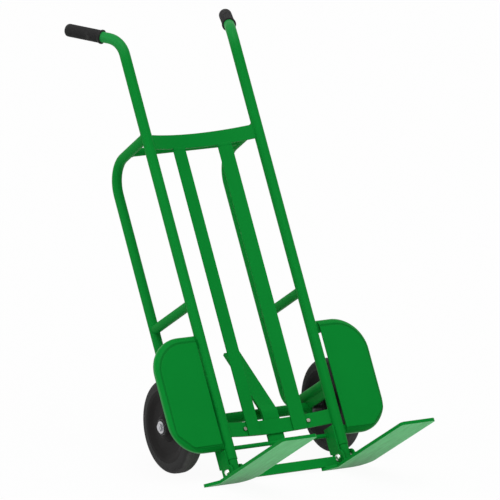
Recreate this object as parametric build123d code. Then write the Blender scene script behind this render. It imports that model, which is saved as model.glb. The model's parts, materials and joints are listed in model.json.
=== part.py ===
from build123d import *

import os
from math import acos, asin, atan2, cos, degrees, hypot, radians, sin

# Mini pallet truck, drawn upright in millimetres: X across (left is -X as seen from the forks' side),
# Y towards the operator, Z up the rails. The fork pivot runs along X through Y = 0, Z = 0.
# At the end the truck is leaned back until it stands on its wheels and on the heels of its forks.

# Rails with their handles
rail_spacing = 352.0
rail_diameter = 30.0
rail_wall = 2.0
rail_end_height = 34.0
knee_height = 1247.0
knee_radius = 70.0
handle_splay = 78.0
handle_reach = 136.0
handle_rise = 92.0

# Rubber grips
grip_length = 120.0
grip_diameter = 36.0
grip_cap_thickness = 4.0
grip_end_rounding = 9.0
grip_collar_diameter = 40.0
grip_collar_width = 5.0
grip_fit = 0.05

# Bowed flat crossbars
bar_height = 40.0
bar_thickness = 5.0
bar_bow = 28.0
upper_bar_height = 928.0
lower_bar_height = 98.0

# Stringers
stringer_spacing = 145.0
stringer_width = 42.0
stringer_edge_rounding = 1.5

# Bolts and nuts of the lower crossbar
bar_bolt_spacing = 203.0
bar_bolt_diameter = 6.0
bar_bolt_head_flats = 10.0
bar_bolt_head_height = 4.0
bar_nut_height = 5.0
bar_bolt_tail = 2.0
bar_bolt_fit = 0.1

# Rear hoops, struts and the rear crossbar; a hoop's top leg leaves the rail above the upper crossbar's lower
# edge and falls towards the back
hoop_diameter = 28.0
hoop_wall = 2.0
hoop_depth = 225.0
hoop_top_rise = 38.0
hoop_top_fall = 12.7
hoop_bottom_height = 212.0
hoop_top_bend = 83.0
hoop_bottom_bend = 50.0
strut_diameter = 27.0
strut_wall = 2.0
strut_height = 480.0
rear_bar_diameter = 22.0
rear_bar_wall = 2.0
rear_bar_setback = 115.0

# Axle, hung below the hoops' lower legs, with its tube, plates, spacers, washers and nuts
axle_setback = 127.4
axle_drop = 31.0
axle_diameter = 20.0
axle_thread_diameter = 12.0
axle_tail = 1.0
axle_tube_diameter = 30.0
axle_tube_wall = 2.5
axle_plate_thickness = 8.0
axle_plate_drop = 22.5
axle_plate_lobe = 20.0
spacer_length = 36.0
spacer_diameter = 30.0
axle_washer_diameter = 34.0
axle_washer_thickness = 2.5
axle_nut_flats = 19.0
axle_nut_height = 6.0
axle_nut_chamfer = 1.0

# Wheels
wheel_diameter = 260.0
wheel_width = 52.0
wheel_end_play = 0.3
tyre_depth = 30.0
tyre_edge_rounding = 18.0
rim_thickness = 9.0
rim_inset = 1.0
web_thickness = 34.0
web_taper = 14.0
hub_diameter = 56.0
hub_length = 73.0
hub_bore_clearance = 3.0
bearing_diameter = 42.0
bearing_width = 12.0
bearing_fit = 0.05
bearing_groove_depth = 1.0
bearing_race_thickness = 3.5

# Wheel guards, welded to the rails by a tongue at each end of a long slit
guard_slit = 6.2
guard_width = 142.3
guard_bottom = 63.0
guard_height = 328.0
guard_thickness = 3.0
guard_wheel_gap = 4.4
guard_lip_depth = 16.0
guard_lip_width = 12.5
guard_top_lip_rise = 20.0
guard_bottom_lip_rise = 13.5
guard_top_corner = 96.5
guard_bottom_corner = 90.0
guard_crease_cut = 43.0
guard_top_tongue = 37.0
guard_bottom_tongue = 25.0

# Rail feet with the pivot bushes
foot_diameter = 27.0
foot_drop = 14.0
foot_edge_rounding = 5.0
foot_spigot_length = 30.0
bush_diameter = 18.0
bush_end_play = 0.3

# Pivot bolts, washers and nuts
pivot_diameter = 12.0
pivot_fit = 0.05
pivot_head_diameter = 18.0
pivot_head_height = 8.0
pivot_head_rounding = 6.0
pivot_washer_diameter = 24.0
pivot_washer_thickness = 2.0
pivot_nut_flats = 19.0
pivot_nut_height = 7.0
pivot_tail = 1.5

# Forks
fork_spacing = 372.0
fork_width = 107.0
fork_thickness = 9.0
fork_drop = 22.0
fork_heel = 8.0
fork_reach = 386.0
fork_heel_corner = 50.0
fork_tip_cut = 6.0
ear_length = 38.0
ear_root = 23.0
ear_tip = 3.0

# Heel bar between the forks
heel_bar_height = 26.0
heel_bar_thickness = 8.0
heel_bar_notch_gap = 1.5

# Tall cheeks and short lugs on the forks
cheek_thickness = 5.0
cheek_side_gap = 0.7
cheek_lobe_radius = 20.0
cheek_foot_front = 22.0
cheek_top = 91.0
cheek_upper_front = 5.0
cheek_notch_back = 12.0
cheek_notch_gap = 1.5
cheek_rear_drop = 8.0
cheek_rear_margin = 2.0
cheek_step_height = 16.0
cheek_step_fall = 2.0
cheek_step = 9.0
lug_radius = 19.0
lug_foot_front = 30.0

# Pedal rod and pedal lever
rod_diameter = 12.0
rod_height = 73.0
rod_bite = 5.2
pedal_width = 50.0
pedal_thickness = 8.0
pedal_stop_gap = 0.3
pedal_bend_height = 165.0
pedal_bend_radius = 20.0
pedal_tilt = 29.0
pedal_slope_length = 236.0
pedal_end_rounding = 1.0

# Places that follow from the sizes above
rail_x = rail_spacing / 2
rail_r = rail_diameter / 2
bow_half_chord = rail_x - rail_r
bow_radius = (bow_half_chord**2 + bar_bow**2) / (2 * bar_bow)
bow_centre = bar_bow - bow_radius
lower_bow_centre = bow_centre + bar_thickness
hoop_top_height = upper_bar_height + hoop_top_rise
axle_height = hoop_bottom_height - axle_drop
lower_bar_back = bar_bow + bar_thickness + bar_thickness / 2
wheel_r = wheel_diameter / 2
hub_inner = rail_x + axle_plate_thickness / 2 + spacer_length + wheel_end_play
wheel_middle = hub_inner + hub_length / 2
axle_shoulder = hub_inner + hub_length + wheel_end_play
guard_inner = rail_x + rail_r + guard_slit
guard_outer = guard_inner + guard_width
guard_top = guard_bottom + guard_height
guard_front = axle_setback - wheel_r - guard_wheel_gap - guard_thickness
cheek_inside = rail_r + cheek_side_gap
cheek_outside = cheek_inside + cheek_thickness
pedal_front = lower_bar_back + pedal_stop_gap
rod_setback = pedal_front + rod_bite - rod_diameter / 2
pivot_hole = pivot_diameter + 2 * pivot_fit
fork_top = -fork_drop
fork_bottom = fork_top - fork_thickness

# Lean at which wheels and fork heels stand on one floor
heel_to_axle_y = axle_setback - fork_heel
heel_to_axle_z = axle_height - fork_bottom
heel_to_axle = hypot(heel_to_axle_y, heel_to_axle_z)
lean = degrees(acos(wheel_r / heel_to_axle) - atan2(heel_to_axle_y, heel_to_axle_z))


def round_bar(start, end, diameter, bore=0.0):
    """Straight bar between two points, or a tube when it has a bore."""
    run = Vector(*end) - Vector(*start)
    section = Circle(diameter / 2)
    if bore > 0:
        section -= Circle(bore / 2)
    return extrude(Plane(origin=start, z_dir=run) * section, amount=run.length)


def bent_tube(corners, bends, diameter, wall=0.0):
    """Tube that follows straight runs joined by bends, or a bar when it has no wall."""
    path = FilletPolyline(*corners, radius=bends)
    section = Circle(diameter / 2)
    if wall > 0:
        section -= Circle(diameter / 2 - wall)
    return sweep(Plane(origin=path @ 0, z_dir=path % 0) * section, path=path)


def side_plate(outline, x_start, thickness):
    """Plate square to X with an outline given as (Y, Z) points."""
    face = make_face(Polyline(*outline, close=True))
    return extrude(Plane(origin=(x_start, 0, 0), x_dir=(0, 1, 0), z_dir=(1, 0, 0)) * face, amount=thickness)


def lathe(outline):
    """Solid of revolution about X from (X, radius) points."""
    return revolve(make_face(Polyline(*outline, close=True)), axis=Axis.X)


def hexagon_nut(start, direction, flats, height, bore):
    """Hexagon prism with a hole, or a bolt head when the bore is nothing."""
    section = RegularPolygon(flats / 2, 6, major_radius=False)
    if bore > 0:
        section -= Circle(bore / 2)
    return extrude(Plane(origin=start, z_dir=direction) * section, amount=height)


def mirrored(solid):
    """Copy of a right-hand piece on the left."""
    return mirror(solid, about=Plane.YZ)


def rail_envelope(x):
    """Outer surface of a rail's straight run, used to cope what is welded to it."""
    return round_bar((x, 0, rail_end_height), (x, 0, knee_height), rail_diameter)


nodes = {}

# Rails and grips
knee = Vector(rail_x, 0, knee_height)
handle = Vector(handle_splay, handle_reach, handle_rise)
handle_way = handle.normalized()
grip_end = knee + handle
tube_end = grip_end - handle_way * grip_cap_thickness
rail = bent_tube([(rail_x, 0, rail_end_height), knee, tube_end], knee_radius, rail_diameter, rail_wall)

grip_start = grip_end - handle_way * grip_length
grip_body = round_bar(grip_start, grip_end, grip_diameter)
grip_rim = grip_body.edges().filter_by(GeomType.CIRCLE).sort_by_distance(grip_end)[0]
grip_body = fillet(grip_rim, grip_end_rounding)
grip_collar = round_bar(grip_start, grip_start + handle_way * grip_collar_width, grip_collar_diameter)
grip_bore = round_bar(grip_start, tube_end, rail_diameter + 2 * grip_fit)
grip = grip_body + grip_collar - grip_bore

nodes["right_rail"] = rail
nodes["left_rail"] = mirrored(rail)
nodes["right_grip"] = grip
nodes["left_grip"] = mirrored(grip)

# Bowed crossbars
right_envelope = rail_envelope(rail_x)
left_envelope = rail_envelope(-rail_x)


def bowed_bar(centre, base):
    """Flat bar bent to the bow and coped to both rails."""
    band = Circle(bow_radius + bar_thickness / 2) - Circle(bow_radius - bar_thickness / 2)
    window = Pos(0, bow_radius) * Rectangle(rail_spacing, bow_radius * 2)
    blank = extrude(Pos(0, centre, base) * (band & window), amount=bar_height)
    return blank - right_envelope - left_envelope


def bow_place(x, centre, radius, height):
    """Point and outward direction on the bow at a distance X from the middle."""
    turn = asin(x / radius)
    away = Vector(sin(turn), cos(turn), 0)
    return Vector(0, centre, height) + away * radius, away


upper_bar = bowed_bar(bow_centre, upper_bar_height)
lower_bar = bowed_bar(lower_bow_centre, lower_bar_height)

# A bolt head's corners stand on the hollow face of the bow
bow_inside = bow_radius - bar_thickness / 2
head_corner = bar_bolt_head_flats / 2 / cos(radians(30))
head_standoff = bow_inside - (bow_inside**2 - head_corner**2) ** 0.5

bar_bolts = []
bar_nuts = []
for side in (-1, 1):
    middle, away = bow_place(
        side * bar_bolt_spacing / 2, lower_bow_centre, bow_radius, lower_bar_height + bar_height / 2
    )
    front = middle - away * (bar_thickness / 2 + head_standoff)
    back = middle + away * bar_thickness / 2
    tail = back + away * (bar_nut_height + bar_bolt_tail)
    lower_bar -= round_bar(middle - away * bar_thickness, middle + away * bar_thickness,
                           bar_bolt_diameter + 2 * bar_bolt_fit)
    head = hexagon_nut(front, away * -1, bar_bolt_head_flats, bar_bolt_head_height, 0)
    bar_bolts.append(head + round_bar(front, tail, bar_bolt_diameter))
    bar_nuts.append(hexagon_nut(back, away, bar_bolt_head_flats, bar_nut_height,
                                bar_bolt_diameter + 2 * bar_bolt_fit))

nodes["upper_crossbar"] = upper_bar
nodes["lower_crossbar"] = lower_bar
nodes["crossbar_bolts"] = Compound(children=bar_bolts)
nodes["crossbar_nuts"] = Compound(children=bar_nuts)

# Stringers lie along the bow, meet the upper crossbar's edge and lap in front of the lower crossbar
stringer_length = upper_bar_height - lower_bar_height
stringer_middle = bow_place(stringer_spacing / 2, bow_centre, bow_radius, lower_bar_height)[0]
stringer_section = RectangleRounded(stringer_width, bar_thickness, stringer_edge_rounding)
stringer_turn = -degrees(asin(stringer_spacing / 2 / bow_radius))
stringer_place = Pos(*stringer_middle) * Rot(Z=stringer_turn)
stringer = extrude(stringer_place * stringer_section, amount=stringer_length)
stringer -= lower_bar
nodes["right_stringer"] = stringer
nodes["left_stringer"] = mirrored(stringer)

# Rear hoops, struts and the rear crossbar
hoop_corners = [
    (rail_x, 0, hoop_top_height),
    (rail_x, hoop_depth, hoop_top_height - hoop_top_fall),
    (rail_x, hoop_depth, hoop_bottom_height),
    (rail_x, 0, hoop_bottom_height),
]
hoop_bends = [hoop_top_bend, hoop_bottom_bend]
hoop = bent_tube(hoop_corners, hoop_bends, hoop_diameter, hoop_wall) - right_envelope
hoop_envelope = bent_tube(hoop_corners, hoop_bends, hoop_diameter)
hoop_back = round_bar((rail_x, hoop_depth, hoop_bottom_height), (rail_x, hoop_depth, hoop_top_height),
                      hoop_diameter)
strut = round_bar((rail_x, 0, strut_height), (rail_x, hoop_depth, strut_height),
                  strut_diameter, strut_diameter - 2 * strut_wall)
strut = strut - right_envelope - hoop_back
rear_bar_height = hoop_top_height - hoop_top_fall * rear_bar_setback / hoop_depth
rear_bar = round_bar((-rail_x, rear_bar_setback, rear_bar_height),
                     (rail_x, rear_bar_setback, rear_bar_height),
                     rear_bar_diameter, rear_bar_diameter - 2 * rear_bar_wall)
rear_bar = rear_bar - hoop_envelope - mirrored(hoop_envelope)
nodes["right_rear_hoop"] = hoop
nodes["left_rear_hoop"] = mirrored(hoop)
nodes["right_strut"] = strut
nodes["left_strut"] = mirrored(strut)
nodes["rear_crossbar"] = rear_bar

# Axle plates hang under the hoops' lower legs
plate_plane = Plane(origin=(rail_x - axle_plate_thickness / 2, 0, 0), x_dir=(0, 1, 0), z_dir=(1, 0, 0))
plate_bottom = hoop_bottom_height - hoop_diameter / 2 - axle_plate_drop
plate_web = make_face(Polyline(
    (0, plate_bottom), (axle_setback, plate_bottom),
    (axle_setback, hoop_bottom_height), (0, hoop_bottom_height), close=True))
neck_front = axle_setback - axle_plate_lobe
neck_back = axle_setback + axle_plate_lobe
plate_neck = make_face(Polyline(
    (neck_front, axle_height), (neck_back, axle_height),
    (neck_back, hoop_bottom_height), (neck_front, hoop_bottom_height), close=True))
plate_outline = plate_web + plate_neck + Pos(axle_setback, axle_height) * Circle(axle_plate_lobe)
plate_outline -= Pos(axle_setback, axle_height) * Circle(axle_diameter / 2)
hoop_bottom = round_bar((rail_x, 0, hoop_bottom_height), (rail_x, hoop_depth, hoop_bottom_height),
                        hoop_diameter)
axle_plate = extrude(plate_plane * plate_outline, amount=axle_plate_thickness) - right_envelope - hoop_bottom
nodes["right_axle_plate"] = axle_plate
nodes["left_axle_plate"] = mirrored(axle_plate)

# Axle and what is clamped on it
on_axle = Pos(0, axle_setback, axle_height)
axle_end = axle_shoulder + axle_washer_thickness + axle_nut_height + axle_tail
axle = round_bar((-axle_shoulder, 0, 0), (axle_shoulder, 0, 0), axle_diameter)
axle += round_bar((-axle_end, 0, 0), (axle_end, 0, 0), axle_thread_diameter)
spacer_start = rail_x + axle_plate_thickness / 2
spacer = round_bar((spacer_start, 0, 0), (spacer_start + spacer_length, 0, 0), spacer_diameter, axle_diameter)
axle_washer = round_bar((axle_shoulder, 0, 0), (axle_shoulder + axle_washer_thickness, 0, 0),
                        axle_washer_diameter, axle_thread_diameter)
axle_nut = hexagon_nut((axle_shoulder + axle_washer_thickness, 0, 0), (1, 0, 0),
                       axle_nut_flats, axle_nut_height, axle_thread_diameter)
axle_nut = chamfer(axle_nut.faces().sort_by(Axis.X)[-1].outer_wire().edges(), axle_nut_chamfer)
tube_half = rail_x - axle_plate_thickness / 2
axle_tube = round_bar((-tube_half, 0, 0), (tube_half, 0, 0),
                      axle_tube_diameter, axle_tube_diameter - 2 * axle_tube_wall)
nodes["axle"] = on_axle * axle
nodes["axle_tube"] = on_axle * axle_tube
nodes["axle_spacers"] = on_axle * Compound(children=[spacer, mirrored(spacer)])
nodes["axle_washers"] = on_axle * Compound(children=[axle_washer, mirrored(axle_washer)])
nodes["axle_nuts"] = on_axle * Compound(children=[axle_nut, mirrored(axle_nut)])

# Wheels: tyre, centre and a pair of bearings
tyre_inner = wheel_r - tyre_depth
half_width = wheel_width / 2
tyre = lathe([
    (-half_width, tyre_inner), (half_width, tyre_inner), (half_width, wheel_r), (-half_width, wheel_r),
])
tyre = fillet(tyre.edges().filter_by(GeomType.CIRCLE).sort_by(SortBy.RADIUS)[-2:], tyre_edge_rounding)

rim_half = half_width - rim_inset
web_half = web_thickness / 2
rim_inner = tyre_inner - rim_thickness
hub_r = hub_diameter / 2
bearing_r = bearing_diameter / 2
hub_bore = axle_diameter / 2 + hub_bore_clearance
hub_half = hub_length / 2
seat = hub_half - bearing_width
centre = lathe([
    (-hub_half, bearing_r), (-hub_half, hub_r), (-web_half, hub_r + web_taper),
    (-web_half, rim_inner - web_taper), (-rim_half, rim_inner), (-rim_half, tyre_inner),
    (rim_half, tyre_inner), (rim_half, rim_inner), (web_half, rim_inner - web_taper),
    (web_half, hub_r + web_taper), (hub_half, hub_r), (hub_half, bearing_r),
    (seat, bearing_r), (seat, hub_bore), (-seat, hub_bore), (-seat, bearing_r),
])
bearing_bore = axle_diameter / 2 + bearing_fit
inner_race = bearing_bore + bearing_race_thickness
outer_race = bearing_r - bearing_race_thickness
bearing = lathe([
    (seat, bearing_bore), (hub_half, bearing_bore), (hub_half, inner_race),
    (hub_half - bearing_groove_depth, inner_race), (hub_half - bearing_groove_depth, outer_race),
    (hub_half, outer_race), (hub_half, bearing_r), (seat, bearing_r),
])
right_wheel = Pos(wheel_middle, axle_setback, axle_height)
left_wheel = Pos(-wheel_middle, axle_setback, axle_height)
bearings = Compound(children=[bearing, mirrored(bearing)])
nodes["right_tyre"] = right_wheel * tyre
nodes["left_tyre"] = left_wheel * tyre
nodes["right_wheel_centre"] = right_wheel * centre
nodes["left_wheel_centre"] = left_wheel * centre
nodes["right_wheel_bearings"] = right_wheel * bearings
nodes["left_wheel_bearings"] = left_wheel * bearings


# Wheel guards: a flat panel with a lip bent back all round but for the edge at the rail
def front_plane(y):
    """Plane that faces the load, with its own axes along X and Z."""
    return Plane(origin=(0, y, 0), x_dir=(1, 0, 0), z_dir=(0, -1, 0))


guard_root = rail_x
low_centre = (guard_outer - guard_bottom_corner, guard_bottom + guard_bottom_corner)
high_centre = (guard_outer - guard_top_corner, guard_top - guard_top_corner)
guard_rim = make_face([
    Line((guard_root, guard_bottom), (low_centre[0], guard_bottom)),
    CenterArc(low_centre, guard_bottom_corner, -90, 90),
    Line((guard_outer, low_centre[1]), (guard_outer, high_centre[1])),
    CenterArc(high_centre, guard_top_corner, 0, 90),
    Line((high_centre[0], guard_top), (guard_root, guard_top)),
    Line((guard_root, guard_top), (guard_root, guard_bottom)),
])
panel_outer = guard_outer - guard_lip_width
panel_bottom = guard_bottom + guard_bottom_lip_rise
panel_top = guard_top - guard_top_lip_rise
panel_corner = guard_top_corner - guard_lip_width
panel_high_centre = (panel_outer - panel_corner, panel_top - panel_corner)
guard_panel = make_face([
    Line((guard_root, panel_bottom), (panel_outer - guard_crease_cut, panel_bottom)),
    Line((panel_outer - guard_crease_cut, panel_bottom), (panel_outer, panel_bottom + guard_crease_cut)),
    Line((panel_outer, panel_bottom + guard_crease_cut), (panel_outer, panel_high_centre[1])),
    CenterArc(panel_high_centre, panel_corner, 0, 90),
    Line((panel_high_centre[0], panel_top), (guard_root, panel_top)),
    Line((guard_root, panel_top), (guard_root, panel_bottom)),
])
rim_face = front_plane(guard_front + guard_lip_depth) * guard_rim
panel_face = front_plane(guard_front) * guard_panel
guard_form = loft([rim_face, panel_face], ruled=True)
slit_bottom = guard_bottom + guard_bottom_tongue
slit_top = guard_top - guard_top_tongue
slit = Pos(guard_inner - rail_r, 0, (slit_bottom + slit_top) / 2) * Box(
    2 * rail_r, 4 * guard_lip_depth, slit_top - slit_bottom)
guard = guard_form - Pos(0, guard_thickness, 0) * guard_form - slit - right_envelope
nodes["right_wheel_guard"] = guard
nodes["left_wheel_guard"] = mirrored(guard)

# Rail feet and pivot bushes
spigot_top = rail_end_height + foot_spigot_length
foot = round_bar((0, 0, -foot_drop), (0, 0, rail_end_height), foot_diameter)
foot = fillet(foot.edges().filter_by(GeomType.CIRCLE).sort_by(Axis.Z)[0], foot_edge_rounding)
foot += round_bar((0, 0, rail_end_height), (0, 0, spigot_top), rail_diameter - 2 * rail_wall)
foot -= round_bar((-rail_x, 0, 0), (rail_x, 0, 0), bush_diameter)
bush_half = cheek_inside - bush_end_play
bush = round_bar((-bush_half, 0, 0), (bush_half, 0, 0), bush_diameter, pivot_hole)
nodes["right_rail_foot"] = Pos(rail_x, 0, 0) * foot
nodes["left_rail_foot"] = Pos(-rail_x, 0, 0) * foot
nodes["pivot_bushes"] = Compound(children=[Pos(rail_x, 0, 0) * bush, Pos(-rail_x, 0, 0) * bush])

# Forks: both carry their ear on the same hand
half_fork = fork_width / 2
fork_outline = make_face([
    Line((-half_fork - ear_length, fork_heel), (half_fork - fork_heel_corner, fork_heel)),
    CenterArc((half_fork - fork_heel_corner, fork_heel - fork_heel_corner), fork_heel_corner, 90, -90),
    Polyline(
        (half_fork, fork_heel - fork_heel_corner), (half_fork, fork_tip_cut - fork_reach),
        (half_fork - fork_tip_cut, -fork_reach), (fork_tip_cut - half_fork, -fork_reach),
        (-half_fork, fork_tip_cut - fork_reach), (-half_fork, fork_heel - ear_root),
        (-half_fork - ear_length, fork_heel - ear_tip), (-half_fork - ear_length, fork_heel)),
])
fork = extrude(Pos(0, 0, fork_bottom) * fork_outline, amount=fork_thickness)
nodes["right_fork"] = Pos(fork_spacing / 2, 0, 0) * fork
nodes["left_fork"] = Pos(-fork_spacing / 2, 0, 0) * fork

# Heel bar, notched at both ends under the pivot bolts
heel_bar_half = rail_x - cheek_outside
pivot_overhang = max(pivot_head_height, pivot_nut_height + pivot_tail)
bolt_stack = pivot_washer_thickness + pivot_overhang + heel_bar_notch_gap
bar_notch_floor = -pivot_washer_diameter / 2 - heel_bar_notch_gap
heel_bar = Pos(0, heel_bar_thickness / 2, fork_top + heel_bar_height / 2) * Box(
    2 * heel_bar_half, heel_bar_thickness, heel_bar_height)
for side in (-1, 1):
    notch_middle = Pos(side * (heel_bar_half - bolt_stack / 2), 0, bar_notch_floor + heel_bar_height / 2)
    heel_bar -= notch_middle * Box(bolt_stack, 4 * heel_bar_thickness, heel_bar_height)
nodes["heel_bar"] = heel_bar

# Cheeks and lugs straddle the rail feet
cheek_rear = rod_setback + rod_diameter / 2 + cheek_rear_margin
cheek = side_plate([
    (-cheek_foot_front, fork_top), (fork_heel, fork_top), (cheek_rear - cheek_step, -cheek_rear_drop),
    (cheek_rear - cheek_step, cheek_step_height), (cheek_rear, cheek_step_height + cheek_step_fall),
    (cheek_rear, cheek_top), (-cheek_upper_front, cheek_top),
    (-cheek_upper_front, 0), (-cheek_lobe_radius, 0),
], -cheek_outside, cheek_thickness)
cheek += round_bar((-cheek_outside, 0, 0), (-cheek_inside, 0, 0), cheek_lobe_radius * 2)
cheek -= round_bar((-cheek_outside, 0, 0), (-cheek_inside, 0, 0), pivot_hole)
cheek -= round_bar((-cheek_outside, rod_setback, rod_height), (-cheek_inside, rod_setback, rod_height),
                   rod_diameter)

# The left cheek is notched under the wheel guard's tongue
notch_floor = guard_bottom - cheek_notch_gap
left_cheek = cheek - side_plate([
    (-cheek_upper_front, notch_floor), (cheek_notch_back, notch_floor),
    (cheek_notch_back, cheek_top), (-cheek_upper_front, cheek_top),
], -cheek_outside, cheek_thickness)

lug = side_plate([(-lug_foot_front, fork_top), (fork_heel, fork_top), (lug_radius, 0), (-lug_radius, 0)],
                 cheek_inside, cheek_thickness)
lug += round_bar((cheek_inside, 0, 0), (cheek_outside, 0, 0), lug_radius * 2)
lug -= round_bar((cheek_inside, 0, 0), (cheek_outside, 0, 0), pivot_hole)

pivot_end = cheek_outside + pivot_washer_thickness + pivot_nut_height + pivot_tail
head_seat = cheek_outside + pivot_washer_thickness
head = round_bar((-head_seat - pivot_head_height, 0, 0), (-head_seat, 0, 0), pivot_head_diameter)
head = fillet(head.edges().filter_by(GeomType.CIRCLE).sort_by(Axis.X)[0], pivot_head_rounding)
pivot_bolt = head + round_bar((-head_seat, 0, 0), (pivot_end, 0, 0), pivot_diameter)
pivot_washer = round_bar((cheek_outside, 0, 0), (head_seat, 0, 0), pivot_washer_diameter, pivot_hole)
pivot_nut = hexagon_nut((head_seat, 0, 0), (1, 0, 0), pivot_nut_flats, pivot_nut_height, pivot_hole)

nuts = []
washers = []
nodes["left_cheek"] = Pos(-rail_x, 0, 0) * left_cheek
nodes["right_cheek"] = Pos(rail_x, 0, 0) * cheek
for name, x in (("left", -rail_x), ("right", rail_x)):
    nodes[name + "_lug"] = Pos(x, 0, 0) * lug
    nodes[name + "_pivot_bolt"] = Pos(x, 0, 0) * pivot_bolt
    nuts.append(Pos(x, 0, 0) * pivot_nut)
    washers.append(Pos(x, 0, 0) * pivot_washer)
    washers.append(Pos(x, 0, 0) * mirrored(pivot_washer))
nodes["pivot_nuts"] = Compound(children=nuts)
nodes["pivot_washers"] = Compound(children=washers)

# Pedal rod and pedal lever
rod = round_bar((-rail_x - cheek_outside, rod_setback, rod_height),
                (rail_x - cheek_inside, rod_setback, rod_height), rod_diameter)
nodes["pedal_rod"] = rod

slope_way = Vector(0, sin(radians(pedal_tilt)), cos(radians(pedal_tilt)))
pedal_foot = Vector(0, pedal_front, rod_height)
pedal_corner = Vector(0, pedal_front, pedal_bend_height)
pedal_tip = pedal_corner + slope_way * pedal_slope_length
pedal_path = FilletPolyline(pedal_foot, pedal_corner, pedal_tip, radius=pedal_bend_radius)
pedal_section = Plane(origin=pedal_foot, x_dir=(1, 0, 0), z_dir=(0, 0, 1)) * (
    Pos(0, pedal_thickness / 2) * Rectangle(pedal_width, pedal_thickness))
pedal = sweep(pedal_section, path=pedal_path)
tip_edges = pedal.edges().filter_by(Axis.X, reverse=True).sort_by(Axis.Z)[-2:]
pedal = fillet(tip_edges, pedal_end_rounding) - rod
nodes["pedal_lever"] = pedal

# Lean the truck back onto its wheels and heels, with the middle of its box at the origin
leaned = {name: Rot(X=-lean) * solid for name, solid in nodes.items()}
boxes = [solid.bounding_box() for solid in leaned.values()]
across = [edge for box in boxes for edge in (box.min.X, box.max.X)]
along = [edge for box in boxes for edge in (box.min.Y, box.max.Y)]
floor = min(box.min.Z for box in boxes)
stand = Pos(-(min(across) + max(across)) / 2, -(min(along) + max(along)) / 2, -floor)

os.makedirs("parts", exist_ok=True)
for name, solid in leaned.items():
    export_step(stand * solid, os.path.join("parts", name + ".step"))
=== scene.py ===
"""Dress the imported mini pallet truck: finishes, moulded rubber, pressed guards, weld beads and fasteners.

Sizes are in metres. Pieces are drawn with the truck upright and its fork pivot at the origin: X runs across,
Y back towards the operator and Z up the rails. The sizes down to the pedal repeat the part's source.
"""

import json
from math import acos, asin, atan2, cos, pi, radians, sin, sqrt, tan

import bmesh
import bpy
from mathutils import Matrix, Vector


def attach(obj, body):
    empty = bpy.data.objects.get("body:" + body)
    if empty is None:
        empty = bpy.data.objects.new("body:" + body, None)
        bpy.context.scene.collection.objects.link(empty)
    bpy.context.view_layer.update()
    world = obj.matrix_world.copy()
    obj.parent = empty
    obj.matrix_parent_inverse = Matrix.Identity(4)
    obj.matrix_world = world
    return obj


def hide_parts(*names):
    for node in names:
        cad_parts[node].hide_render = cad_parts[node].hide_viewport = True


bl_info = {
    "name": "Mini pallet truck",
    "version": (1, 0, 0),
    "blender": (4, 5, 0),
    "location": "3D View > Sidebar > Truck",
    "description": "Dresses the packed mini pallet truck with its finishes, rubber, welds and fasteners",
    "category": "Object",
}

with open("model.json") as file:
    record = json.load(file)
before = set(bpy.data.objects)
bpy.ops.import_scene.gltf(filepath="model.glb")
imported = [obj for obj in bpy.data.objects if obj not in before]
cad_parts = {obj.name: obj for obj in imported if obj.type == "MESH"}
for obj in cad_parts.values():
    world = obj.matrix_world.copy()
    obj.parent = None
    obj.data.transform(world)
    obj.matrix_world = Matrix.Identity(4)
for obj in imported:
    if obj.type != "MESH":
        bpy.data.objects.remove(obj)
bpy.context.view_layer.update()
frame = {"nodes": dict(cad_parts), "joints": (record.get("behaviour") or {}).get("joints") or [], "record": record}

# Rails and grips
RAIL_X = 0.176
RAIL_RADIUS = 0.015
RAIL_END = 0.034
KNEE_HEIGHT = 1.247
HANDLE = Vector((0.078, 0.136, 0.092))
GRIP_LENGTH = 0.120
GRIP_RADIUS = 0.018
GRIP_BORE_RADIUS = 0.01505
GRIP_CAP = 0.004
GRIP_END_ROUNDING = 0.009
COLLAR_RADIUS = 0.020
COLLAR_WIDTH = 0.005

# Bowed crossbars, the bolts of the lower one, and the stringers between them
BAR_HEIGHT = 0.040
BAR_THICKNESS = 0.005
BAR_BOW = 0.028
UPPER_BAR_Z = 0.928
LOWER_BAR_Z = 0.098
BOW_HALF_CHORD = RAIL_X - RAIL_RADIUS
BOW_RADIUS = (BOW_HALF_CHORD**2 + BAR_BOW**2) / (2 * BAR_BOW)
BOW_CENTRE_Y = BAR_BOW - BOW_RADIUS
BAR_BOLT_X = 0.1015
BAR_BOLT_RADIUS = 0.003
BAR_BOLT_FLATS = 0.010
BAR_BOLT_HEAD = 0.004
BAR_BOLT_TAIL = 0.002
BAR_NUT_HEIGHT = 0.005
STRINGER_X = 0.0725
STRINGER_WIDTH = 0.042

# Rear hoops, struts and rear crossbar
HOOP_RADIUS = 0.014
HOOP_DEPTH = 0.225
HOOP_TOP_Z = 0.966
HOOP_TOP_FALL = 0.0127
HOOP_BOTTOM_Z = 0.212
STRUT_RADIUS = 0.0135
STRUT_Z = 0.480
REAR_BAR_RADIUS = 0.011
REAR_BAR_Y = 0.115

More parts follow.
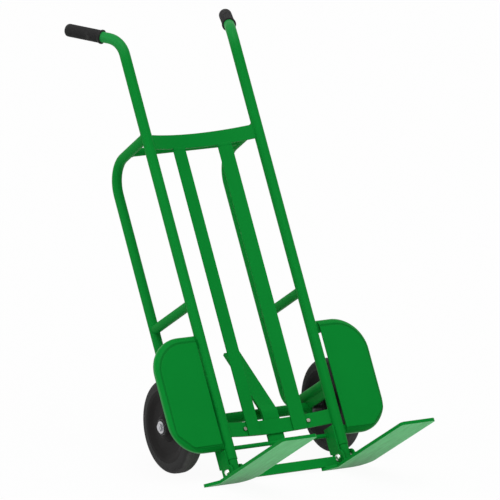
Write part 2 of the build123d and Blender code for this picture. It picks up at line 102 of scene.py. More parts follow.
# Axle, its plates and the wheels
AXLE_Y = 0.1274
AXLE_Z = 0.181
AXLE_TUBE_RADIUS = 0.015
AXLE_THREAD_RADIUS = 0.006
AXLE_NUT_FLATS = 0.019
AXLE_NUT_HEIGHT = 0.006
AXLE_WASHER = 0.0025
AXLE_SPACER = 0.036
PLATE_THICKNESS = 0.008
PLATE_BOTTOM_Z = 0.1755
PLATE_LOBE_RADIUS = 0.020
WHEEL_RADIUS = 0.130
WHEEL_HALF = 0.026
WHEEL_END_PLAY = 0.0003
TYRE_INNER_RADIUS = 0.100
TYRE_ROUNDING = 0.018
RIM_INNER_RADIUS = 0.091
RIM_HALF = 0.025
WEB_HALF = 0.017
WEB_TAPER = 0.014
HUB_RADIUS = 0.028
HUB_HALF = 0.0365
HUB_BORE_RADIUS = 0.013
BEARING_RADIUS = 0.021
BEARING_WIDTH = 0.012
WHEEL_X = RAIL_X + PLATE_THICKNESS / 2 + AXLE_SPACER + WHEEL_END_PLAY + HUB_HALF
AXLE_NUT_X = WHEEL_X + HUB_HALF + WHEEL_END_PLAY + AXLE_WASHER

# Wheel guards
GUARD_SLIT = 0.0062
GUARD_WIDTH = 0.1423
GUARD_BOTTOM = 0.063
GUARD_HEIGHT = 0.328
GUARD_FRONT = -0.010
GUARD_THICKNESS = 0.003
GUARD_INNER = RAIL_X + RAIL_RADIUS + GUARD_SLIT
GUARD_OUTER = GUARD_INNER + GUARD_WIDTH
GUARD_TOP = GUARD_BOTTOM + GUARD_HEIGHT
LIP_DEPTH = 0.016
LIP_WIDTH = 0.0125
TOP_LIP_RISE = 0.020
BOTTOM_LIP_RISE = 0.0135
TOP_CORNER = 0.0965
BOTTOM_CORNER = 0.090
CREASE_CUT = 0.043
TOP_TONGUE = 0.037
BOTTOM_TONGUE = 0.025

# Forks with heel bar, cheeks, lugs and pivots, and the pedal on its rod
FORK_X = 0.186
FORK_HALF = 0.0535
FORK_TOP = -0.022
FORK_HEEL = 0.008
EAR_LENGTH = 0.038
HEEL_BAR_THICKNESS = 0.008
CHEEK_SIDE_GAP = 0.0007
CHEEK_THICKNESS = 0.005
CHEEK_INSIDE = RAIL_RADIUS + CHEEK_SIDE_GAP
CHEEK_OUTSIDE = CHEEK_INSIDE + CHEEK_THICKNESS
CHEEK_FRONT = 0.022
LUG_FRONT = 0.030
PIVOT_RADIUS = 0.006
PIVOT_WASHER = 0.002
PIVOT_NUT_FLATS = 0.019
PIVOT_NUT_HEIGHT = 0.007
ROD_RADIUS = 0.006
ROD_Y = 0.035
ROD_Z = 0.073
PEDAL_HALF = 0.025
PEDAL_FRONT = 0.0358

# How far a guard's lugs stand behind its panel's face here, where the solids have flat tongues
GUARD_LUG = 0.009

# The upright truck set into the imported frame: the fork's hinge gives the place, its sole the lean
JOINTS = {joint["name"]: joint for joint in frame["joints"]}
PIVOT = Vector(JOINTS["fork_tilt"]["pos_m"])
SOLE_AXIS = frame["record"]["mounts"][0]["axis"]
LEAN = atan2(-SOLE_AXIS[1], -SOLE_AXIS[2])
UPRIGHT = Matrix.Translation(PIVOT) @ Matrix.Rotation(-LEAN, 4, "X")
BACK_AXIS = UPRIGHT.to_3x3() @ Vector((0, 1, 0))
UP_AXIS = UPRIGHT.to_3x3() @ Vector((0, 0, 1))

# Where painted highlights, painted shade, the sole's painted light and dust begin and are full
KNEE_HIGHLIGHT_HEIGHT = (KNEE_HEIGHT - 0.080, KNEE_HEIGHT + 0.040)
CREASE_SHADE_BEGINS = (0.0002, 0.0010)
CREASE_SHADE_ENDS = (0.0016, 0.0036)
LIT_RIM_DEPTH = (LIP_DEPTH * 0.60, LIP_DEPTH)
FACING_DOWN = (0.80, 0.95)
DUSTY_RADIUS = (WHEEL_RADIUS - 0.011, WHEEL_RADIUS)

# Radians of the tyres' mould rings to a metre of radius
MOULD_RING_RATE = 3600.0

# Camera at the photograph's viewing angle, in the upright truck's axes
CAMERA_RIGHT = Vector((0.8559, -0.4520, -0.2513))
CAMERA_AWAY = Vector((0.5071, 0.8289, 0.2361))
CAMERA_OFFSET = Vector((0.1107, 0.5792, 17.868))
CAMERA_PIXELS_PER_METRE = 369.0
IMAGE_WIDTH = 500
SENSOR_WIDTH = 36.0

# Light and floor: each softbox has a name, the direction that it stands in, its level and its spread
SOFTBOXES = (
    ("overhead_softbox", (-0.10, -0.40, 0.91), 0.465, 50.0),
    ("left_softbox", (-0.98, 0.10, 0.15), 0.28, 60.0),
)
SOFTBOX_DISTANCE = 3.0
SURROUND_LEVEL = 0.40
FLOOR_HALF = 60.0
FLOOR_WHITENESS = 0.95
WHITE = (1.0, 1.0, 1.0, 1.0)

# Both sides as signs of X, and with their names
SIDES = (-1, 1)
HANDS = ((1, "right"), (-1, "left"))


def both(name):
    """Names of a pair's right and left node."""
    return ("right_" + name, "left_" + name)


PAINTED_NODES = (
    "upper_crossbar", "lower_crossbar", "rear_crossbar", "axle_tube", "heel_bar", "pedal_rod", "pedal_lever",
    "pivot_washers", *both("stringer"), *both("rear_hoop"), *both("strut"), *both("axle_plate"),
    *both("rail_foot"), *both("cheek"), *both("lug"),
)
ZINC_NODES = ("axle", "axle_washers", "axle_nuts", "pivot_nuts")
OILED_NODES = ("crossbar_bolts", "crossbar_nuts")
BEARING_NODES = (*both("wheel_bearings"), "axle_spacers", "pivot_bushes")
OPAQUE = {"subtype": "COLOR", "size": 4, "min": 0.0, "max": 1.0}


class TruckSizes(bpy.types.PropertyGroup):
    """Sizes of the details that are added to the truck."""

    edge_radius: bpy.props.FloatProperty(
        name="Edge radius", description="Rounding that paint gives to plate edges",
        default=0.0016, min=0.0, unit="LENGTH")
    rib_pitch: bpy.props.FloatProperty(
        name="Grip rib pitch", description="Distance between ribs along a grip",
        default=0.0042, min=0.001, unit="LENGTH")
    rib_depth: bpy.props.FloatProperty(
        name="Grip rib depth", description="Depth of the valleys between ribs",
        default=0.0009, min=0.0, unit="LENGTH")
    bead_radius: bpy.props.FloatProperty(
        name="Weld bead radius", description="Half the width of a weld bead",
        default=0.0016, min=0.0005, unit="LENGTH")
    bead_pitch: bpy.props.FloatProperty(
        name="Weld ripple pitch", description="Distance between the ripples of a weld bead",
        default=0.0026, min=0.0005, unit="LENGTH")
    bend_softness: bpy.props.FloatProperty(
        name="Guard bend softness", description="Share of the lip over which a guard's crease is rounded",
        default=0.15, min=0.05, max=0.6, subtype="FACTOR")
    lip_roll: bpy.props.FloatProperty(
        name="Guard lip roll", description="Share of a guard's lip that is rolled, not sloping straight",
        default=0.50, min=0.0, max=1.0, subtype="FACTOR")
    seal_thickness: bpy.props.FloatProperty(
        name="Bearing seal thickness", description="Height of the rubber seals on the wheel bearings",
        default=0.0002, min=0.0001, unit="LENGTH")
    crease_depth: bpy.props.FloatProperty(
        name="Guard crease depth", description="Depth of the groove pressed along a guard's crease",
        default=0.0017, min=0.0, unit="LENGTH")
    seam_rise: bpy.props.FloatProperty(
        name="Dressed seam rise", description="Height that is left of a weld that was ground flush",
        default=0.0004, min=0.0, unit="LENGTH")
    mould_line: bpy.props.FloatProperty(
        name="Tyre mould line", description="Height of the line that the mould leaves round the tyre",
        default=0.0004, min=0.0, unit="LENGTH")


class TruckColours(bpy.types.PropertyGroup):
    """Colours of the truck's finishes and of the stage."""

    paint: bpy.props.FloatVectorProperty(
        name="Paint", description="Colour of the powder coat",
        default=(0.0025, 0.232, 0.0284, 1.0), **OPAQUE)
    # Also painted as highlights on the guards' rims and near the grips.
    edge_and_highlight_paint: bpy.props.FloatVectorProperty(
        name="Paint on edges", description="Colour of the thinner coat on edges, also painted as highlights",
        default=(0.020, 0.310, 0.070, 1.0), **OPAQUE)
    # A painted light: the soles under the forks take this lighter colour for the light from below.
    lit_sole_paint: bpy.props.FloatVectorProperty(
        name="Lit sole paint", description="Colour of the soles under the forks, painted lighter for the light from below",
        default=(0.030, 0.510, 0.115, 1.0), **OPAQUE)
    grip: bpy.props.FloatVectorProperty(
        name="Grip rubber", description="Colour of the grips",
        default=(0.014, 0.014, 0.014, 1.0), **OPAQUE)
    tyre: bpy.props.FloatVectorProperty(
        name="Tyre rubber", description="Colour of the tyres",
        default=(0.0365, 0.0365, 0.0365, 1.0), **OPAQUE)
    dust: bpy.props.FloatVectorProperty(
        name="Dust", description="Colour of the dust that rubber holds",
        default=(0.096, 0.095, 0.093, 1.0), **OPAQUE)
    plastic: bpy.props.FloatVectorProperty(
        name="Wheel plastic", description="Colour of the wheel centres",
        default=(0.0080, 0.0072, 0.0072, 1.0), **OPAQUE)
    zinc: bpy.props.FloatVectorProperty(
        name="Zinc", description="Colour of the plated fasteners",
        default=(0.49, 0.50, 0.53, 1.0), **OPAQUE)
    bright_zinc: bpy.props.FloatVectorProperty(
        name="Bright zinc", description="Colour of the polished pivot bolts",
        default=(0.88, 0.89, 0.88, 1.0), **OPAQUE)
    oiled: bpy.props.FloatVectorProperty(
        name="Oiled steel", description="Colour of the small dark bolts of the lower crossbar",
        default=(0.24, 0.23, 0.20, 1.0), **OPAQUE)
    bearing_dark: bpy.props.FloatVectorProperty(
        name="Bearing steel, dark", description="Darker colour in the grain of the bearing steel",
        default=(0.36, 0.36, 0.37, 1.0), **OPAQUE)
    bearing_light: bpy.props.FloatVectorProperty(
        name="Bearing steel, light", description="Lighter colour in the grain of the bearing steel",
        default=(0.50, 0.50, 0.51, 1.0), **OPAQUE)
    floor: bpy.props.FloatVectorProperty(
        name="Floor", description="Colour of the floor",
        default=(0.90, 0.90, 0.90, 1.0), **OPAQUE)


class Value:
    """One output of a node tree, so that shader maths reads as an expression."""

    def __init__(self, finish, socket):
        self.finish = finish
        self.socket = socket

    def __add__(self, other):
        return self.finish.math("ADD", self, other)

    def __radd__(self, other):
        return self.finish.math("ADD", other, self)

    def __sub__(self, other):
        return self.finish.math("SUBTRACT", self, other)

    def __rsub__(self, other):
        return self.finish.math("SUBTRACT", other, self)

    def __mul__(self, other):
        return self.finish.math("MULTIPLY", self, other)

    def __rmul__(self, other):
        return self.finish.math("MULTIPLY", other, self)


class Finish:
    """Node tree of a material or of the world, written as expressions."""

    def __init__(self, owner):
        owner.use_nodes = True
        self.owner = owner
        self.tree = owner.node_tree
        self.tree.nodes.clear()

    def node(self, kind, settings, inputs, output=0):
        """Add one node: its settings first, then the values or links of its sockets."""
        made = self.tree.nodes.new(kind)
        for name, value in settings.items():
            setattr(made, name, value)
        for key, value in inputs.items():
            if isinstance(value, Value):
                self.tree.links.new(value.socket, made.inputs[key])
            else:
                made.inputs[key].default_value = value
        return Value(self, made.outputs[output]) if made.outputs else None

    def math(self, operation, *operands):
        """Work on plain numbers."""
        return self.node("ShaderNodeMath", {"operation": operation}, dict(enumerate(operands)))

    def vectors(self, operation, *operands, output="Vector"):
        """Work on vectors."""
        return self.node("ShaderNodeVectorMath", {"operation": operation}, dict(enumerate(operands)), output)

    def dot(self, first, second):
        """Reach of one vector along another."""
        return self.vectors("DOT_PRODUCT", first, second, output="Value")

    def place(self):
        """Coordinates that stay with the piece."""
        return self.node("ShaderNodeTexCoord", {}, {}, "Object")

    def noise(self, place, scale, detail):
        """Cloudy pattern from nothing to one."""
        return self.node("ShaderNodeTexNoise", {}, {"Vector": place, "Scale": scale, "Detail": detail})

    def band(self, value, low, high):
        """Rise from nothing at low to one at high."""
        return self.node("ShaderNodeMapRange", {"interpolation_type": "SMOOTHSTEP"},
                         {"Value": value, "From Min": low, "From Max": high})

    def mix(self, share, first, second):
        """Blend two colours, for which the node has inputs 6 and 7 and output 2."""
        return self.node("ShaderNodeMix", {"data_type": "RGBA"}, {0: share, 6: first, 7: second}, 2)

    def bump(self, height, strength, distance, normal=None):
        """Normal that a height gives, over the mesh's own normal or another."""
        inputs = {"Height": height, "Strength": strength, "Distance": distance}
        if normal is not None:
            inputs["Normal"] = normal
        return self.node("ShaderNodeBump", {}, inputs)

    def surface(self, shader):
        """Put a shader on the material, which is then done."""
        self.node("ShaderNodeOutputMaterial", {}, {"Surface": shader})
        return self.owner

    def principled(self, inputs):
        """Put one principled shader on the material."""
        return self.surface(self.node("ShaderNodeBsdfPrincipled", {}, inputs))


def tinted(colour, factor):
    """A colour made darker or lighter, with its alpha kept."""
    return (colour[0] * factor, colour[1] * factor, colour[2] * factor, colour[3])


def crease_shade_and_rim_highlight(paint, place, colours, inputs):
    """Painted light on a guard: painted shade darkens the crease, and a painted highlight lightens the rim, which
    also gets a clear coat.
    """
    set_back = paint.dot(place, BACK_AXIS) - (BACK_AXIS.dot(PIVOT) + GUARD_FRONT)
    # Painted shade: a darker copy of the paint along the crease, where shade falls.
    shaded_crease = paint.band(set_back, *CREASE_SHADE_BEGINS) * (1 - paint.band(set_back, *CREASE_SHADE_ENDS))
    # Painted highlight: the paint turns lighter and glossier towards the rim.
    lit_rim = paint.band(set_back, *LIT_RIM_DEPTH)
    coat = paint.mix(shaded_crease * 0.45, inputs["Base Color"], tinted(colours.paint, 0.5))
    inputs["Base Color"] = paint.mix(lit_rim * 0.4, coat, tuple(colours.edge_and_highlight_paint))
    inputs["Coat Weight"] = lit_rim * 0.5


def knee_highlight(paint, place, colours, inputs):
    """Painted highlight on a rail: the paint near the grips is painted lighter, where the knees catch the light,
    and given a little gloss.
    """
    height = paint.dot(place, UP_AXIS) - UP_AXIS.dot(PIVOT)
    # Painted highlight: the paint turns lighter near the grips and the knees.
    lit_knee = paint.band(height, *KNEE_HIGHLIGHT_HEIGHT)
    inputs["Base Color"] = paint.mix(lit_knee * 0.65, inputs["Base Color"], tuple(colours.edge_and_highlight_paint))
    inputs["Coat Weight"] = lit_knee * 0.10


def lit_scratched_sole(paint, place, colours, inputs):
    """Painted light on a fork: the sole that faces down is painted lighter for the light from below, streaked with
    scratches along the fork, and given a clear coat.
    """
    normal = paint.node("ShaderNodeTexCoord", {}, {}, "Normal")
    along = paint.vectors("MULTIPLY", place, (1.0, 0.06, 0.06))
    scratches = paint.band(paint.noise(along, scale=260.0, detail=3.0), 0.40, 0.62)
    # Painted light from below: the sole that faces down turns lighter, streaked with scratches.
    sole_light_and_scratches = paint.band(paint.dot(normal, SOLE_AXIS), *FACING_DOWN) * (0.72 + scratches * 0.28)
    inputs["Base Color"] = paint.mix(sole_light_and_scratches, inputs["Base Color"], tuple(colours.lit_sole_paint))
    inputs["Roughness"] = inputs["Roughness"] + sole_light_and_scratches * 0.12
    inputs["Coat Weight"] = sole_light_and_scratches * 0.45


def powder_coat(name, sizes, colours, painted_light_and_scratches=None):
    """Satin green powder coat with a slight cloud, orange peel, and edges painted lighter, partly for a thinner
    coat and partly as a painted highlight, plus the painted light, shade and scratches that a variant adds.
    """
    paint = Finish(bpy.data.materials.new(name))
    place = paint.place()
    cloud = paint.noise(place, scale=7.0, detail=3.0)
    peel = paint.noise(place, scale=420.0, detail=2.0)
    rounded = paint.node("ShaderNodeBevel", {"samples": 6}, {"Radius": sizes.edge_radius})
    flat = paint.node("ShaderNodeNewGeometry", {}, {}, "Normal")
    # Edges are painted lighter: partly a thinner coat, partly a painted highlight.
    edge = paint.band(1 - paint.dot(rounded, flat), 0.02, 0.22)
    body = paint.mix(cloud, tinted(colours.paint, 0.92), tinted(colours.paint, 1.08))
    inputs = {
        "Base Color": paint.mix(edge * 0.35, body, tuple(colours.edge_and_highlight_paint)),
        "Roughness": 0.36 + cloud * 0.12,
        "IOR": 1.10,
        "Normal": paint.bump(peel, strength=0.06, distance=0.0004, normal=rounded),
    }
    if painted_light_and_scratches is not None:
        painted_light_and_scratches(paint, place, colours, inputs)
        inputs["Coat Roughness"] = 0.30
    return paint.principled(inputs)


def grip_rubber(colours):
    """Matt moulded rubber with a fine grain and pale handling marks."""
    rubber = Finish(bpy.data.materials.new("ribbed_grip_rubber"))
    place = rubber.place()
    grain = rubber.noise(place, scale=1500.0, detail=2.0)
    marks = rubber.band(rubber.noise(place, scale=45.0, detail=5.0), 0.52, 0.75)
    return rubber.principled({
        "Base Color": rubber.mix(marks * 0.25, tuple(colours.grip), tuple(colours.dust)),
        "Roughness": 0.62 + grain * 0.2,
        "IOR": 1.30,
        "Normal": rubber.bump(grain, strength=0.25, distance=0.0002),
    })


def tyre_rubber(colours):
    """Solid tyre rubber with fine mould rings round the axle, and dust that gathers towards the tread."""
    rubber = Finish(bpy.data.materials.new("dusty_tyre_rubber"))
    place = rubber.place()
    radius = rubber.vectors("LENGTH", rubber.vectors("MULTIPLY", place, (0.0, 1.0, 1.0)), output="Value")
    rings = rubber.math("SINE", radius * MOULD_RING_RATE)
    grain = rubber.noise(place, scale=900.0, detail=3.0)
    patches = rubber.noise(place, scale=30.0, detail=4.0)
    outward = rubber.band(radius, *DUSTY_RADIUS)
    dust = rubber.band(patches + outward * 0.45, 0.60, 1.00)
    return rubber.principled({
        "Base Color": rubber.mix(dust * 0.75, tuple(colours.tyre), tuple(colours.dust)),
        "Roughness": 0.66 + grain * 0.2,
        "IOR": 1.20,
        "Normal": rubber.bump(grain + rings * 0.12, strength=0.22, distance=0.0003),
    })


def wheel_plastic(colours):
    """Black moulded plastic with a spark-eroded grain."""
    plastic = Finish(bpy.data.materials.new("wheel_centre_plastic"))
    place = plastic.place()
    grain = plastic.noise(place, scale=1100.0, detail=3.0)
    cloud = plastic.noise(place, scale=25.0, detail=3.0)
    return plastic.principled({
        "Base Color": plastic.mix(cloud, tinted(colours.plastic, 0.8), tinted(colours.plastic, 1.3)),
        "Roughness": 0.46 + cloud * 0.2,
        "IOR": 1.20,
        "Normal": plastic.bump(grain, strength=0.15, distance=0.0002),
    })


def plated_steel(name, colour):
    """Steel under a thin plate or film, with spangle and a faint warm tarnish."""
    steel = Finish(bpy.data.materials.new(name))
    place = steel.place()
    spangle = steel.noise(place, scale=260.0, detail=3.0)
    tarnish = steel.noise(place, scale=60.0, detail=2.0)
    warm = (colour[0] * 1.03, colour[1], colour[2] * 0.96, 1.0)
    return steel.principled({
        "Base Color": steel.mix(tarnish, tuple(colour), warm),
        "Metallic": 1.0,
        "Roughness": 0.26 + spangle * 0.22,
        "Normal": steel.bump(spangle, strength=0.06, distance=0.0002),
    })


def bearing_steel(colours):
    """Ground bearing steel with a fine grain."""
    steel = Finish(bpy.data.materials.new("ground_bearing_steel"))
    grain = steel.noise(steel.place(), scale=700.0, detail=2.0)
    return steel.principled({
        "Base Color": steel.mix(grain, tuple(colours.bearing_dark), tuple(colours.bearing_light)),
        "Metallic": 1.0,
        "Roughness": 0.22 + grain * 0.16,
        "Normal": steel.bump(grain, strength=0.05, distance=0.0002),
    })


def material_named(name):
    """A finish that was made before."""
    found = bpy.data.materials.get(name)
    if found is None:
        raise RuntimeError(f"the finish {name} has not been made")
    return found


def placed(name, data):
    """New object in the scene."""
    made = bpy.data.objects.new(name, data)
    bpy.context.scene.collection.objects.link(made)
    return made


def looking(place, direction):
    """Matrix at a place whose Z axis points in a direction."""
    return Matrix.Translation(place) @ Vector(direction).to_track_quat("Z", "Y").to_matrix().to_4x4()


def shares(steps, whole=False):
    """Even shares from nothing to the whole, which is left out unless it is asked for."""
    return [step / steps for step in range(steps + 1 if whole else steps)]


def turns(steps):
    """Angles of even steps round a circle."""
    return [2 * pi * share for share in shares(steps)]


def on_arc(centre, radius, turn):
    """Point of a flat circle."""
    return centre + Vector((cos(turn), sin(turn))) * radius


def around(matrix, radius, turn, along=0.0):
    """Point at a radius, an angle and a distance along the matrix's Z axis."""
    return matrix @ Vector((radius * cos(turn), radius * sin(turn), along))


def rounded_corner(along, radius, size, steps):
    """Quarter circle at the outer corner of an outline of (distance along, radius) points."""
    quarter = [pi / 2 * share for share in shares(steps, whole=True)]
    return [(along - size * (1 - sin(turn)), radius - size * (1 - cos(turn))) for turn in quarter]


def eased(along, radius, offsets):
    """Points at small offsets from an outline's corner."""
    return [(along + forward, radius + outward) for forward, outward in offsets]


def mirrored(half):
    """Half an outline, followed by its mirror image taken backwards."""
    return half + [(-along, radius) for along, radius in reversed(half)]


def resampled(route, spacing, closed):
    """Points at even spacing along a route of points."""
    points = [Vector(point) for point in route]
    if closed:
        points.append(points[0])
    lengths = [(after - before).length for before, after in zip(points, points[1:])]
    steps = max(3, round(sum(lengths) / spacing))
    spaced = []
    for step in range(steps if closed else steps + 1):
        left = sum(lengths) * step / steps
        for index, length in enumerate(lengths):
            if left <= length or index == len(lengths) - 1:
                spaced.append(points[index].lerp(points[index + 1], min(1.0, left / length)))
                break
            left -= length
    return spaced


class Draft:
    """Points and faces gathered for one piece."""

    SAME_POINT = 0.000001
    TURNED_SHARE = 0.94
    TURNED_SLOPE = 0.5
    BEAD_SIDES = 8
    BEAD_END = 0.35
    RIPPLE_STEPS = 4
    RIPPLE_LOW = 0.86

    def __init__(self):
        self.points = []
        self.faces = []

    def skin(self, rows, loop=True, closed=False, capped=True):
        """Cover rows of equal length: loop joins a row's ends, closed joins the last row to the first."""
        first = len(self.points)
        width = len(rows[0])
        for row in rows:
            self.points.extend(tuple(point) for point in row)
        last_row = len(rows) if closed else len(rows) - 1
        last_column = width if loop else width - 1
        for row in range(last_row):
            here = first + row * width
            there = first + (row + 1) % len(rows) * width
            for column in range(last_column):
                after = (column + 1) % width
                self.faces.append((here + column, here + after, there + after, there + column))
        if capped and loop and not closed:
            self.faces.append(tuple(range(first + width - 1, first - 1, -1)))
            end = first + (len(rows) - 1) * width
            self.faces.append(tuple(range(end, end + width)))

    def lathe(self, outline, matrix, segments):
        """Revolve a closed outline of (distance along, radius) points about the matrix's Z axis."""
        rows = [[around(matrix, radius, turn, along) for along, radius in outline]
                for turn in turns(segments)]
        self.skin(rows, closed=True)

    def hexagon(self, matrix, flats, height, bore, side_steps=8):
        """Hexagon nut or bolt head along the matrix's Z axis, turned down at its outer face."""
        apothem = flats / 2
        shoulder = apothem * self.TURNED_SHARE
        rows = [[], [], [], []]
        for turn in turns(6 * side_steps):
            reach = apothem / cos((turn + pi / 6) % (pi / 3) - pi / 6)
            fall = (reach - shoulder) * self.TURNED_SLOPE
            rings = ((reach, 0.0), (reach, height - fall), (shoulder, height), (bore, height))
            for row, (radius, along) in zip(rows, rings):
                row.append(around(matrix, radius, turn, along))
        self.skin(rows)

    def bead(self, route, radius, pitch, closed=False):
        """Rippled weld bead along a route."""
        spaced = resampled(route, pitch / self.RIPPLE_STEPS, closed)
        count = len(spaced)
        rows = []
        side = None
        for index, point in enumerate(spaced):
            before = spaced[index - 1] if closed or index else point
            after = spaced[(index + 1) % count] if closed or index + 1 < count else point
            way = (after - before).normalized()
            if side is None:
                side = way.orthogonal().normalized()
            side = (side - way * side.dot(way)).normalized()
            up = way.cross(side)
            ripple = self.RIPPLE_LOW + (1 - self.RIPPLE_LOW) * abs(sin(pi * index / self.RIPPLE_STEPS))
            if not closed and index in (0, count - 1):
                ripple = self.BEAD_END
            rows.append([point + (side * cos(turn) + up * sin(turn)) * radius * ripple
                         for turn in turns(self.BEAD_SIDES)])
        self.skin(rows, closed=closed)

    def piece(self, name, material, body, slot, sharp=35.0, origin=(0.0, 0.0, 0.0)):
        """Turn the draft into a piece that rides on a body, with its own coordinates about an origin."""
        mesh = bpy.data.meshes.new(name)
        mesh.from_pydata(self.points, [], self.faces)
        mesh.transform(Matrix.Translation(origin).inverted() @ UPRIGHT)
        mesh.validate()
        shell = bmesh.new()
        shell.from_mesh(mesh)
        bmesh.ops.remove_doubles(shell, verts=shell.verts, dist=self.SAME_POINT)
        bmesh.ops.recalc_face_normals(shell, faces=shell.faces)
        shell.to_mesh(mesh)
        shell.free()
        mesh.shade_smooth()
        mesh.set_sharp_from_angle(angle=radians(sharp))
        mesh.materials.append(material)
        made = placed(name, mesh)
        made.location = origin
        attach(made, body)
        return made


class TRUCK_OT_make_finishes(bpy.types.Operator):
    """Make the finishes and give them to the solids of the frame, the lifting fork and the wheels."""

    bl_idname = "truck.make_finishes"
    bl_label = "Finishes"

    def execute(self, context):
        sizes = context.scene.truck_sizes
        colours = context.scene.truck_colours
        wanted = (
            (PAINTED_NODES, powder_coat("green_powder_coat", sizes, colours)),
            (both("rail"), powder_coat("knee_lit_green_powder_coat", sizes, colours, knee_highlight)),
            (both("wheel_guard"), powder_coat("rim_lit_green_powder_coat", sizes, colours, crease_shade_and_rim_highlight)),
            (both("fork"), powder_coat("lit_sole_green_powder_coat", sizes, colours, lit_scratched_sole)),
            (ZINC_NODES, plated_steel("zinc_plated_steel", colours.zinc)),
            (both("pivot_bolt"), plated_steel("polished_zinc", colours.bright_zinc)),
            (OILED_NODES, plated_steel("oiled_steel", colours.oiled)),
            (both("grip"), grip_rubber(colours)),
            (both("tyre"), tyre_rubber(colours)),
            (both("wheel_centre"), wheel_plastic(colours)),
            (BEARING_NODES, bearing_steel(colours)),
        )
        for names, material in wanted:
            for name in names:
                for slot in frame["nodes"][name].material_slots:
                    slot.material = material
        return {"FINISHED"}


class TRUCK_OT_make_grips(bpy.types.Operator):
    """Mould the ribbed rubber grips over the ends of the handles."""

    bl_idname = "truck.make_grips"
    bl_label = "Grips"

    # Offsets at the collar's corners, plain stretches before and after the ribs, and a valley in shares
    COLLAR_START = ((0.0, -0.001), (0.001, 0.0))
    COLLAR_END = ((-0.001, 0.0), (0.0, -0.001))
    COLLAR_FOOT = 0.001
    PLAIN_START = 0.005
    PLAIN_END = 0.012
    VALLEY = ((0.0, 0.0), (0.18, 0.8), (0.30, 1.0), (0.42, 0.8), (0.60, 0.0))

    def outline(self, sizes):
        """Closed outline of a grip as (distance from its open end, radius)."""
        rib_start = COLLAR_WIDTH + self.PLAIN_START
        rib_room = GRIP_LENGTH - GRIP_END_ROUNDING - self.PLAIN_END - rib_start
        cap_inside = GRIP_LENGTH - GRIP_CAP
        points = [(0.0, GRIP_BORE_RADIUS)]
        points += eased(0.0, COLLAR_RADIUS, self.COLLAR_START)
        points += eased(COLLAR_WIDTH, COLLAR_RADIUS, self.COLLAR_END)
        points.append((COLLAR_WIDTH + self.COLLAR_FOOT, GRIP_RADIUS))
        for rib in range(int(rib_room / sizes.rib_pitch)):
            points += [(rib_start + (rib + along) * sizes.rib_pitch, GRIP_RADIUS - sizes.rib_depth * depth)
                       for along, depth in self.VALLEY]
        points += rounded_corner(GRIP_LENGTH, GRIP_RADIUS, GRIP_END_ROUNDING, steps=8)
        return points + [(GRIP_LENGTH, 0.0), (cap_inside, 0.0), (cap_inside, GRIP_BORE_RADIUS)]

    def execute(self, context):
        outline = self.outline(context.scene.truck_sizes)
        rubber = material_named("ribbed_grip_rubber")
        for side, hand in HANDS:
            way = Vector((side * HANDLE.x, HANDLE.y, HANDLE.z)).normalized()
            end = Vector((side * (RAIL_X + HANDLE.x), HANDLE.y, KNEE_HEIGHT + HANDLE.z))
            draft = Draft()
            draft.lathe(outline, looking(end - way * GRIP_LENGTH, way), segments=56)
            grip = draft.piece(hand + "_grip_ribbed", rubber, "frame", "grip_rubber", sharp=50.0)
            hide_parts(hand + "_grip")
        return {"FINISHED"}


